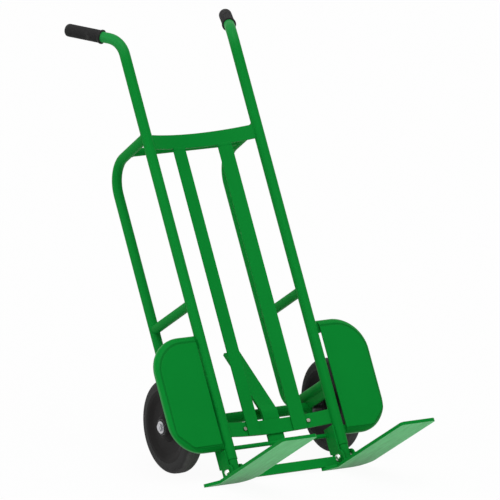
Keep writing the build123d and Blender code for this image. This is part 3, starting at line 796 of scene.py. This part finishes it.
class TRUCK_OT_make_wheels(bpy.types.Operator):
    """Mould the tyres and the wheel centres, and seal the bearings."""

    bl_idname = "truck.make_wheels"
    bl_label = "Wheels"

    # Offsets that ease the corners of the mouldings, and sizes of the mould line and the seals
    TYRE_FOOT = ((-0.0010, 0.0), (0.0, 0.0012))
    MOULD_LINE_FOOT = 0.0006
    MOULD_LINE_TOP = 0.0003
    HUB_MOUTH = ((-0.0008, 0.0), (0.0, 0.0008))
    HUB_EDGE = ((0.0, -0.0025), (-0.0008, -0.0006), (-0.0025, 0.0010))
    WEB_START = ((0.0020, -0.0012), (0.0005, 0.0), (0.0, 0.0025))
    WEB_END = ((0.0, -0.0025), (0.0006, 0.0))
    RIM_EDGE = ((-0.0015, -0.0020), (0.0, 0.0010))
    SEAL_INNER_RADIUS = 0.0125
    SEAL_OUTER_RADIUS = 0.0206

    def tyre_outline(self, sizes):
        """Closed outline of a tyre as (distance along the axle, radius)."""
        crown = WHEEL_RADIUS - sizes.mould_line
        half = eased(WHEEL_HALF, TYRE_INNER_RADIUS, self.TYRE_FOOT)
        half += reversed(rounded_corner(WHEEL_HALF, crown, TYRE_ROUNDING, steps=12))
        return mirrored(half + [(self.MOULD_LINE_FOOT, crown), (self.MOULD_LINE_TOP, WHEEL_RADIUS)])

    def centre_outline(self):
        """Closed outline of a wheel centre as (distance along the axle, radius)."""
        seat = HUB_HALF - BEARING_WIDTH
        half = [(seat, BEARING_RADIUS)]
        half += eased(HUB_HALF, BEARING_RADIUS, self.HUB_MOUTH)
        half += eased(HUB_HALF, HUB_RADIUS, self.HUB_EDGE)
        half += eased(WEB_HALF, HUB_RADIUS + WEB_TAPER, self.WEB_START)
        half += eased(WEB_HALF, RIM_INNER_RADIUS - WEB_TAPER, self.WEB_END)
        half += eased(RIM_HALF, RIM_INNER_RADIUS, self.RIM_EDGE)
        half.append((RIM_HALF, TYRE_INNER_RADIUS))
        return mirrored(half) + [(-seat, HUB_BORE_RADIUS), (seat, HUB_BORE_RADIUS)]

    def execute(self, context):
        sizes = context.scene.truck_sizes
        for side, hand in HANDS:
            place = Vector((side * WHEEL_X, AXLE_Y, AXLE_Z))
            hub = looking(place, (side, 0, 0))
            origin = UPRIGHT @ place
            tyre = Draft()
            tyre.lathe(self.tyre_outline(sizes), hub, segments=144)
            made = tyre.piece(hand + "_tyre_moulded", material_named("dusty_tyre_rubber"),
                              hand + "_wheel", "tyre_rubber", origin=origin)
            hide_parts(hand + "_tyre")
            centre = Draft()
            centre.lathe(self.centre_outline(), hub, segments=112)
            made = centre.piece(hand + "_wheel_centre_moulded", material_named("wheel_centre_plastic"),
                                hand + "_wheel", "wheel_plastic", origin=origin)
            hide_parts(hand + "_wheel_centre")
            seals = Draft()
            for near in (-HUB_HALF - sizes.seal_thickness, HUB_HALF):
                far = near + sizes.seal_thickness
                ring = [(near, self.SEAL_INNER_RADIUS), (near, self.SEAL_OUTER_RADIUS),
                        (far, self.SEAL_OUTER_RADIUS), (far, self.SEAL_INNER_RADIUS)]
                seals.lathe(ring, hub, segments=64)
            seals.piece(hand + "_bearing_seals", material_named("ribbed_grip_rubber"),
                        hand + "_wheel", "grip_rubber", origin=origin)
        return {"FINISHED"}


class TRUCK_OT_make_guards(bpy.types.Operator):
    """Press the wheel guards: a flat panel, a grooved crease, a rolled lip, and lugs that reach the rail."""

    bl_idname = "truck.make_guards"
    bl_label = "Wheel guards"

    # Steps round the outline and over the crease and the lip
    BOTTOM_STEPS = 12
    BEND_STEPS = 8
    CUT_STEPS = 12
    SIDE_STEPS = 16
    CORNER_STEPS = 28
    TOP_STEPS = 4
    CREASE_STEPS = 8
    LIP_STEPS = 10

    # Rounding of the crease at the cut corner, roll of the lip, and the lugs' slope, lap and ends
    CREASE_ROUNDING = 0.020
    ROLL_TURN = 0.98
    LUG_SLOPE = 0.007
    LUG_LAP = 0.018
    LUG_OVERLAP = 0.0002
    LUG_TOP_SHARE = 0.15
    LUG_ENDS = (
        (GUARD_BOTTOM + BOTTOM_TONGUE, GUARD_BOTTOM + BOTTOM_LIP_RISE, GUARD_BOTTOM),
        (GUARD_TOP - TOP_TONGUE, GUARD_TOP - TOP_LIP_RISE, GUARD_TOP),
    )

    def outlines(self):
        """Matching (panel, rim) points in X and Z, from the rail at the bottom to the rail at the top."""
        low = Vector((GUARD_OUTER - BOTTOM_CORNER, GUARD_BOTTOM + BOTTOM_CORNER))
        high = Vector((GUARD_OUTER - TOP_CORNER, GUARD_TOP - TOP_CORNER))
        panel_outer = GUARD_OUTER - LIP_WIDTH
        panel_bottom = GUARD_BOTTOM + BOTTOM_LIP_RISE
        panel_top = GUARD_TOP - TOP_LIP_RISE
        panel_corner = TOP_CORNER - LIP_WIDTH
        panel_high = Vector((panel_outer - panel_corner, panel_top - panel_corner))
        bend = self.CREASE_ROUNDING
        bend_x = panel_outer - CREASE_CUT - bend * tan(pi / 8)
        bend_z = panel_bottom + CREASE_CUT + bend * tan(pi / 8)
        first_bend = Vector((bend_x, panel_bottom + bend))
        last_bend = Vector((panel_outer - bend, bend_z))
        pairs = []

        # Along the bottom
        for share in shares(self.BOTTOM_STEPS):
            x = GUARD_INNER + (bend_x - GUARD_INNER) * share
            drop = sqrt(BOTTOM_CORNER**2 - max(0.0, x - low.x)**2)
            pairs.append((Vector((x, panel_bottom)), Vector((x, low.y - drop))))

        # Round the lower corner, which the panel cuts straight across and the rim takes in one arc
        cut_start = on_arc(first_bend, bend, -pi / 4)
        cut_end = on_arc(last_bend, bend, -pi / 4)
        cut = [on_arc(first_bend, bend, -pi / 2 + pi / 4 * share) for share in shares(self.BEND_STEPS)]
        cut += [cut_start.lerp(cut_end, share) for share in shares(self.CUT_STEPS)]
        cut += [on_arc(last_bend, bend, -pi / 4 + pi / 4 * share) for share in shares(self.BEND_STEPS)]
        start_turn = -acos((bend_x - low.x) / BOTTOM_CORNER)
        end_turn = -asin((low.y - bend_z) / BOTTOM_CORNER)
        for point, share in zip(cut, shares(len(cut))):
            turn = start_turn + (end_turn - start_turn) * share
            pairs.append((point, on_arc(low, BOTTOM_CORNER, turn)))

        # Up the outer side
        for share in shares(self.SIDE_STEPS):
            panel_z = bend_z + (panel_high.y - bend_z) * share
            rim_z = bend_z + (high.y - bend_z) * share
            reach = sqrt(BOTTOM_CORNER**2 - max(0.0, low.y - rim_z)**2)
            pairs.append((Vector((panel_outer, panel_z)), Vector((low.x + reach, rim_z))))

        # Round the upper corner and back along the top
        for share in shares(self.CORNER_STEPS):
            turn = pi / 2 * share
            pairs.append((on_arc(panel_high, panel_corner, turn), on_arc(high, TOP_CORNER, turn)))
        for share in shares(self.TOP_STEPS, whole=True):
            x = high.x + (GUARD_INNER - high.x) * share
            pairs.append((Vector((x, panel_top)), Vector((x, GUARD_TOP))))
        return pairs

    def set_back(self, sizes, share):
        """Depth of the sheet behind the panel's face at a share of the way from the crease to the rim."""
        groove = sizes.crease_depth * max(0.0, 1 - (share / sizes.bend_softness) ** 2)
        if share <= 0:
            return groove
        roll = (1 - sqrt(1 - (self.ROLL_TURN * share) ** 2)) / (1 - sqrt(1 - self.ROLL_TURN**2))
        return groove + LIP_DEPTH * (share + (roll - share) * sizes.lip_roll)

    def sheet(self, draft, sizes, side, sheet_shares):
        """Front and back of the pressed sheet, each with its flat panel, and the edge round them."""
        through = Vector((0, GUARD_THICKNESS, 0))
        pairs = self.outlines()
        front = []
        for share in sheet_shares:
            y = GUARD_FRONT + self.set_back(sizes, share)
            row = [panel.lerp(rim, share) for panel, rim in pairs]
            front.append([Vector((side * point.x, y, point.y)) for point in row])
        draft.skin(front, loop=False)
        draft.skin([[point + through for point in row] for row in front], loop=False)
        width = len(pairs)
        back = len(front) * width
        draft.faces.append(tuple(range(width)))
        draft.faces.append(tuple(range(back + width - 1, back - 1, -1)))
        edge = front[-1] + [row[-1] for row in reversed(front[:-1])] + [row[0] for row in front[:-1]]
        draft.skin([edge, [point + through for point in edge]], capped=False)

    def lug(self, draft, sizes, side, lip_shares, root, crease, rim):
        """Lug between the rail and a guard's end: it lies on the panel's back and runs out under the lip."""
        in_rail = RAIL_X + RAIL_RADIUS / 2
        lip = [(GUARD_FRONT + self.set_back(sizes, share), crease + (rim - crease) * share)
               for share in lip_shares if self.set_back(sizes, share) > GUARD_LUG]
        section = lip + [(y + GUARD_THICKNESS, z) for y, z in reversed(lip)]
        draft.skin([[Vector((side * x, y, z)) for y, z in section]
                    for x in (in_rail, GUARD_INNER + self.LUG_OVERLAP)])
        lip_start = lip[0][1]
        under_crease = crease + (root - crease) * self.LUG_TOP_SHARE
        on_rail = GUARD_FRONT + GUARD_LUG
        on_panel = GUARD_FRONT + GUARD_THICKNESS
        rows = []
        for x, y, end in ((in_rail, on_rail, lip_start), (GUARD_INNER, on_rail, lip_start),
                          (GUARD_INNER + self.LUG_SLOPE, on_panel, under_crease),
                          (GUARD_INNER + self.LUG_LAP, on_panel, under_crease)):
            behind = y + GUARD_THICKNESS
            rows.append([Vector((side * x, y, root)), Vector((side * x, y, end)),
                         Vector((side * x, behind, end)), Vector((side * x, behind, root))])
        draft.skin(rows)

    def execute(self, context):
        sizes = context.scene.truck_sizes
        soft = sizes.bend_softness
        crease_shares = [-soft + 2 * soft * share for share in shares(self.CREASE_STEPS, whole=True)]
        lip_shares = [soft + (1 - soft) * sin(pi / 2 * share)
                      for share in shares(self.LIP_STEPS, whole=True)[1:]]
        for side, hand in HANDS:
            draft = Draft()
            self.sheet(draft, sizes, side, crease_shares + lip_shares)
            for root, crease, rim in self.LUG_ENDS:
                self.lug(draft, sizes, side, lip_shares, root, crease, rim)
            made = draft.piece(hand + "_wheel_guard_pressed", material_named("rim_lit_green_powder_coat"),
                               "frame", "green_paint", sharp=30.0)
            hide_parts(hand + "_wheel_guard")
        return {"FINISHED"}


class TRUCK_OT_make_welds(bpy.types.Operator):
    """Lay painted weld beads where tubes and plates meet."""

    bl_idname = "truck.make_welds"
    bl_label = "Weld beads"

    # Steps of round seams, stretches left free at a seam's ends, and shifts that set a bead on its seam
    TUBE_STEPS = 40
    ROD_STEPS = 24
    PEDAL_STEPS = 12
    DRESSED_STEPS = 12
    SHORT_MARGIN = 0.002
    MARGIN = 0.003
    HEEL_MARGIN = 0.004
    FOOT_INSET = 0.001
    LUG_LIP_SHARE = 0.45
    PEDAL_ARC = radians(75)
    PEDAL_RISE = ROD_RADIUS * 0.985

    # Ground seam: its share of the stringer's width, and its section as (height, share of its rise)
    DRESSED_LENGTH = 0.97
    DRESSED_SECTION = (
        (-0.006, -1.0), (-0.004, 0.5), (-0.0015, 1.0), (0.0015, 1.0), (0.004, 0.5), (0.006, -1.0),
    )

    def run(self, start, end):
        """Straight seam, as its points and whether it is closed."""
        return [start, end], False

    def ring(self, centre, radius, axis, steps):
        """Closed seam round an axis."""
        matrix = looking(centre, axis)
        return [around(matrix, radius, turn) for turn in turns(steps)], True

    def saddle(self, side, height, radius, from_rail, slope=0.0):
        """Closed seam of a tube that runs back from the rail or into the hoop, falling by its slope."""
        seam = []
        for turn in turns(self.TUBE_STEPS):
            across = radius * cos(turn)
            if from_rail:
                y = sqrt(RAIL_RADIUS**2 - across**2)
            else:
                y = HOOP_DEPTH - sqrt(HOOP_RADIUS**2 - across**2)
            seam.append(Vector((side * RAIL_X + across, y, height + radius * sin(turn) - slope * y)))
        return seam, True

    def rear_bar_seam(self, side):
        """Closed seam of the rear crossbar against a hoop's sloping top."""
        slope = atan2(HOOP_TOP_FALL, HOOP_DEPTH)
        bar_z = HOOP_TOP_Z - REAR_BAR_Y * HOOP_TOP_FALL / HOOP_DEPTH
        seam = []
        for turn in turns(self.TUBE_STEPS):
            along = REAR_BAR_RADIUS * cos(turn)
            off = REAR_BAR_RADIUS * sin(turn)
            y = REAR_BAR_Y + along * cos(slope) + off * sin(slope)
            z = bar_z - along * sin(slope) + off * cos(slope)
            seam.append(Vector((side * (RAIL_X - sqrt(HOOP_RADIUS**2 - off**2)), y, z)))
        return seam, True

    def bow_point(self, x, offset, z):
        """Point on a bowed bar: offset is measured outward from the bar's middle."""
        turn = asin(x / BOW_RADIUS)
        reach = BOW_RADIUS + offset
        return Vector((reach * sin(turn), BOW_CENTRE_Y + reach * cos(turn), z))

    def tube_seams(self, side):
        """Seams of the hoop, the strut, the rear crossbar, the rail foot and the axle tube."""
        foot = (side * RAIL_X, 0, RAIL_END)
        axle = (side * (RAIL_X - PLATE_THICKNESS / 2), AXLE_Y, AXLE_Z)
        return [
            self.saddle(side, HOOP_TOP_Z, HOOP_RADIUS, True, HOOP_TOP_FALL / HOOP_DEPTH),
            self.saddle(side, HOOP_BOTTOM_Z, HOOP_RADIUS, True),
            self.saddle(side, STRUT_Z, STRUT_RADIUS, True),
            self.saddle(side, STRUT_Z, STRUT_RADIUS, False),
            self.rear_bar_seam(side),
            self.ring(foot, RAIL_RADIUS - self.FOOT_INSET, (0, 0, 1), self.TUBE_STEPS),
            self.ring(axle, AXLE_TUBE_RADIUS, (1, 0, 0), self.TUBE_STEPS),
        ]

    def bar_seams(self, side):
        """Upright seams of the crossbars' ends against the rail."""
        seams = []
        for base, middle in ((UPPER_BAR_Z, 0.0), (LOWER_BAR_Z, BAR_THICKNESS)):
            for y in (middle - BAR_THICKNESS / 2, middle + BAR_THICKNESS / 2):
                x = side * (RAIL_X - sqrt(RAIL_RADIUS**2 - y**2))
                seams.append(self.run((x, y, base + self.MARGIN), (x, y, base + BAR_HEIGHT - self.MARGIN)))
        return seams

    def guard_seams(self, side):
        """Upright seams of the guard's lugs against the rail."""
        y = GUARD_FRONT + GUARD_LUG
        x = side * (RAIL_X + sqrt(RAIL_RADIUS**2 - y**2))
        lowest = GUARD_BOTTOM + BOTTOM_LIP_RISE * self.LUG_LIP_SHARE
        highest = GUARD_TOP - TOP_LIP_RISE * self.LUG_LIP_SHARE
        return [self.run((x, y, lowest), (x, y, GUARD_BOTTOM + BOTTOM_TONGUE)),
                self.run((x, y, GUARD_TOP - TOP_TONGUE), (x, y, highest))]

    def plate_seams(self, side):
        """Seams of the axle plate under the hoop and behind the rail."""
        seams = []
        for face in (-PLATE_THICKNESS / 2, PLATE_THICKNESS / 2):
            x = side * RAIL_X + face
            under_hoop = HOOP_BOTTOM_Z - sqrt(HOOP_RADIUS**2 - face**2)
            behind_rail = sqrt(RAIL_RADIUS**2 - face**2)
            corner = (x, behind_rail, under_hoop)
            seams.append(self.run(corner, (x, AXLE_Y + PLATE_LOBE_RADIUS, under_hoop)))
            seams.append(self.run((x, behind_rail, PLATE_BOTTOM_Z), corner))
        return seams

    def stringer_seams(self, side):
        """Seams of the stringer under the upper crossbar and over the lower one."""
        seams = []
        for z, margin in ((UPPER_BAR_Z, self.SHORT_MARGIN), (LOWER_BAR_Z + BAR_HEIGHT, self.MARGIN)):
            half = STRINGER_WIDTH / 2 - margin
            start, end = [self.bow_point(side * STRINGER_X + x, BAR_THICKNESS / 2, z) for x in (-half, half)]
            seams.append(self.run(start, end))
        return seams

    def heel_seams(self):
        """Seams of the heel bar on both forks' heels."""
        spans = ((-RAIL_X + CHEEK_OUTSIDE, FORK_HALF - FORK_X),
                 (FORK_X - FORK_HALF - EAR_LENGTH, RAIL_X - CHEEK_OUTSIDE))
        return [self.run((start + self.HEEL_MARGIN, y, FORK_TOP), (end - self.HEEL_MARGIN, y, FORK_TOP))
                for start, end in spans for y in (0.0, HEEL_BAR_THICKNESS)]

    def cheek_seams(self, side):
        """Seams of the cheek and the lug on a fork, and of the rod in the cheek."""
        rail = side * RAIL_X
        cheek = (rail - CHEEK_OUTSIDE, rail - CHEEK_INSIDE)
        lug = (rail + CHEEK_INSIDE, rail + CHEEK_OUTSIDE)
        back = FORK_HEEL - self.SHORT_MARGIN
        seams = []
        for faces, reach in ((cheek, CHEEK_FRONT), (lug, LUG_FRONT)):
            front = self.SHORT_MARGIN - reach
            seams += [self.run((x, front, FORK_TOP), (x, back, FORK_TOP)) for x in faces]
        return seams + [self.ring((x, ROD_Y, ROD_Z), ROD_RADIUS, (1, 0, 0), self.ROD_STEPS) for x in cheek]

    def pedal_seams(self):
        """Seams of the pedal lever on its rod: round the rod at its sides, straight below and above it."""
        arc = [self.PEDAL_ARC * (2 * share - 1) for share in shares(self.PEDAL_STEPS, whole=True)]
        reach = PEDAL_HALF - self.SHORT_MARGIN
        seams = []
        for side in SIDES:
            seams.append(([(side * PEDAL_HALF, ROD_Y + ROD_RADIUS * cos(turn), ROD_Z + ROD_RADIUS * sin(turn))
                           for turn in arc], False))
        for side in SIDES:
            z = ROD_Z + side * self.PEDAL_RISE
            seams.append(self.run((-reach, PEDAL_FRONT, z), (reach, PEDAL_FRONT, z)))
        return seams

    def dressed_seam(self, draft, side, rise):
        """Weld in front of a stringer's upper end, ground down until it hardly stands out."""
        rows = []
        for share in shares(self.DRESSED_STEPS, whole=True):
            x = side * STRINGER_X + STRINGER_WIDTH * (share - 0.5) * self.DRESSED_LENGTH
            rows.append([self.bow_point(x, -BAR_THICKNESS / 2 - proud * rise, UPPER_BAR_Z + up)
                         for up, proud in self.DRESSED_SECTION])
        draft.skin(rows)

    def execute(self, context):
        sizes = context.scene.truck_sizes
        frame_seams = []
        fork_seams = self.heel_seams()
        for side in SIDES:
            frame_seams += self.tube_seams(side) + self.bar_seams(side) + self.guard_seams(side)
            frame_seams += self.plate_seams(side) + self.stringer_seams(side)
            fork_seams += self.cheek_seams(side)
        fork_seams += self.pedal_seams()
        for name, body, seams in (("frame_weld_beads", "frame", frame_seams),
                                  ("fork_weld_beads", "lift_fork", fork_seams)):
            draft = Draft()
            for route, closed in seams:
                draft.bead(route, sizes.bead_radius, sizes.bead_pitch, closed)
            if body == "frame":
                for side in SIDES:
                    self.dressed_seam(draft, side, sizes.seam_rise)
            draft.piece(name, material_named("green_powder_coat"), body, "green_paint", sharp=60.0)
        return {"FINISHED"}


class TRUCK_OT_make_fasteners(bpy.types.Operator):
    """Turn the nuts and bolt heads, with chamfered corners and threads."""

    bl_idname = "truck.make_fasteners"
    bl_label = "Fasteners"

    THREAD_PITCH = 0.0010

    def thread(self, draft, matrix, radius, reach):
        """Ridged shank along the matrix's Z axis."""
        root = radius - self.THREAD_PITCH / 2
        count = max(1, int(reach / self.THREAD_PITCH))
        pitch = reach / count
        outline = [(0.0, 0.0), (0.0, root)]
        for ridge in range(count):
            outline += [(pitch * (ridge + 0.5), radius), (pitch * (ridge + 1), root)]
        draft.lathe(outline + [(reach, 0.0)], matrix, segments=24)

    def execute(self, context):
        zinc = material_named("zinc_plated_steel")
        oiled = material_named("oiled_steel")
        half_bar = BAR_THICKNESS / 2
        bar_middle = Vector((0, BOW_CENTRE_Y + BAR_THICKNESS, LOWER_BAR_Z + BAR_HEIGHT / 2))
        bolts = Draft()
        nuts = Draft()
        axle_nuts = Draft()
        pivot_nuts = Draft()
        for side in SIDES:
            turn = asin(side * BAR_BOLT_X / BOW_RADIUS)
            away = Vector((sin(turn), cos(turn), 0.0))
            middle = bar_middle + away * BOW_RADIUS
            bolts.hexagon(looking(middle - away * half_bar, -away), BAR_BOLT_FLATS, BAR_BOLT_HEAD, bore=0.0)
            self.thread(bolts, looking(middle, away), BAR_BOLT_RADIUS,
                        half_bar + BAR_NUT_HEIGHT + BAR_BOLT_TAIL)
            nuts.hexagon(looking(middle + away * half_bar, away),
                         BAR_BOLT_FLATS, BAR_NUT_HEIGHT, BAR_BOLT_RADIUS)
            axle_nuts.hexagon(looking((side * AXLE_NUT_X, AXLE_Y, AXLE_Z), (side, 0, 0)),
                              AXLE_NUT_FLATS, AXLE_NUT_HEIGHT, AXLE_THREAD_RADIUS)
            pivot_nuts.hexagon(looking((side * RAIL_X + CHEEK_OUTSIDE + PIVOT_WASHER, 0, 0), (1, 0, 0)),
                               PIVOT_NUT_FLATS, PIVOT_NUT_HEIGHT, PIVOT_RADIUS)
        for draft, node, material, body in (
            (bolts, "crossbar_bolts", oiled, "frame"), (nuts, "crossbar_nuts", oiled, "frame"),
            (axle_nuts, "axle_nuts", zinc, "frame"), (pivot_nuts, "pivot_nuts", zinc, "lift_fork"),
        ):
            made = draft.piece(node + "_turned", material, body, "zinc_steel", sharp=25.0)
            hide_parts(node)
        return {"FINISHED"}


class TRUCK_OT_make_stage(bpy.types.Operator):
    """Set up the floor, the soft light and the camera."""

    bl_idname = "truck.make_stage"
    bl_label = "Stage"

    def seen_white(self, finish, shader, share):
        """Mix a shader with plain white where the camera, a reflection or a glass looks at it."""
        camera = finish.node("ShaderNodeLightPath", {}, {}, "Is Camera Ray")
        glossy = finish.node("ShaderNodeLightPath", {}, {}, "Is Glossy Ray")
        clear = finish.node("ShaderNodeLightPath", {}, {}, "Is Transmission Ray")
        white = finish.node("ShaderNodeEmission", {}, {"Color": WHITE, "Strength": 1.0})
        seen = finish.math("MAXIMUM", camera, finish.math("MAXIMUM", glossy, clear))
        return finish.node("ShaderNodeMixShader", {}, {0: seen * share, 1: shader, 2: white})

    def floor(self, colour):
        """Pale floor that keeps the truck's shadow."""
        finish = Finish(bpy.data.materials.new("pale_floor"))
        diffuse = finish.node("ShaderNodeBsdfDiffuse", {}, {"Color": colour})
        finish.surface(self.seen_white(finish, diffuse, FLOOR_WHITENESS))
        corners = [(FLOOR_HALF * x, FLOOR_HALF * y, 0) for x, y in ((-1, -1), (1, -1), (1, 1), (-1, 1))]
        mesh = bpy.data.meshes.new("floor")
        mesh.from_pydata(corners, [], [(0, 1, 2, 3)])
        mesh.materials.append(finish.owner)
        placed("floor", mesh)

    def world(self):
        """Soft light from all round, which itself looks white."""
        world = bpy.data.worlds.new("soft_surround")
        finish = Finish(world)
        soft = finish.node("ShaderNodeBackground", {}, {"Color": WHITE, "Strength": SURROUND_LEVEL})
        finish.node("ShaderNodeOutputWorld", {}, {"Surface": self.seen_white(finish, soft, 1.0)})
        bpy.context.scene.world = world

    def lamp(self, name, towards, level, spread):
        """Broad distant light from a direction; a level of one lights a white face square to it to white."""
        data = bpy.data.lights.new(name, "SUN")
        data.energy = level * pi
        data.angle = radians(spread)
        placed(name, data).matrix_world = looking(Vector(towards) * SOFTBOX_DISTANCE, towards)

    def camera(self):
        """Camera that sees the truck as the photograph does."""
        data = bpy.data.cameras.new("photo_camera")
        data.sensor_fit = "HORIZONTAL"
        data.sensor_width = SENSOR_WIDTH
        data.lens = CAMERA_PIXELS_PER_METRE * CAMERA_OFFSET.z * SENSOR_WIDTH / IMAGE_WIDTH
        data.clip_start = 0.1
        data.clip_end = 200.0
        right = CAMERA_RIGHT.normalized()
        away = (CAMERA_AWAY - right * CAMERA_AWAY.dot(right)).normalized()
        down = away.cross(right)
        stand = -right * CAMERA_OFFSET.x - down * CAMERA_OFFSET.y - away * CAMERA_OFFSET.z
        turn = Matrix((right, -down, -away)).transposed().to_4x4()
        made = placed("photo_camera", data)
        made.matrix_world = UPRIGHT @ Matrix.Translation(stand) @ turn
        bpy.context.scene.camera = made

    def execute(self, context):
        self.floor(tuple(context.scene.truck_colours.floor))
        self.world()
        for name, towards, level, spread in SOFTBOXES:
            self.lamp(name, towards, level, spread)
        self.camera()
        context.scene.view_settings.view_transform = "Standard"
        return {"FINISHED"}


STEPS = (
    TRUCK_OT_make_finishes, TRUCK_OT_make_grips, TRUCK_OT_make_wheels, TRUCK_OT_make_guards,
    TRUCK_OT_make_welds, TRUCK_OT_make_fasteners, TRUCK_OT_make_stage,
)


class TRUCK_PT_panel(bpy.types.Panel):
    """Lists the steps that dress the truck, with their sizes and colours."""

    bl_idname = "TRUCK_PT_panel"
    bl_label = "Mini pallet truck"
    bl_space_type = "VIEW_3D"
    bl_region_type = "UI"
    bl_category = "Truck"

    def draw(self, context):
        for step in STEPS:
            self.layout.operator(step.bl_idname)
        for group in (context.scene.truck_sizes, context.scene.truck_colours):
            for name in group.__annotations__:
                self.layout.prop(group, name)


CLASSES = (TruckSizes, TruckColours) + STEPS + (TRUCK_PT_panel,)


def register():
    for item in CLASSES:
        bpy.utils.register_class(item)
    bpy.types.Scene.truck_sizes = bpy.props.PointerProperty(type=TruckSizes)
    bpy.types.Scene.truck_colours = bpy.props.PointerProperty(type=TruckColours)


def unregister():
    del bpy.types.Scene.truck_colours
    del bpy.types.Scene.truck_sizes
    for item in reversed(CLASSES):
        bpy.utils.unregister_class(item)


def main():
    """Dress the truck."""
    register()
    bpy.ops.truck.make_finishes()
    bpy.ops.truck.make_grips()
    bpy.ops.truck.make_wheels()
    bpy.ops.truck.make_guards()
    bpy.ops.truck.make_welds()
    bpy.ops.truck.make_fasteners()
    bpy.ops.truck.make_stage()


if __name__ == "__main__":
    main()
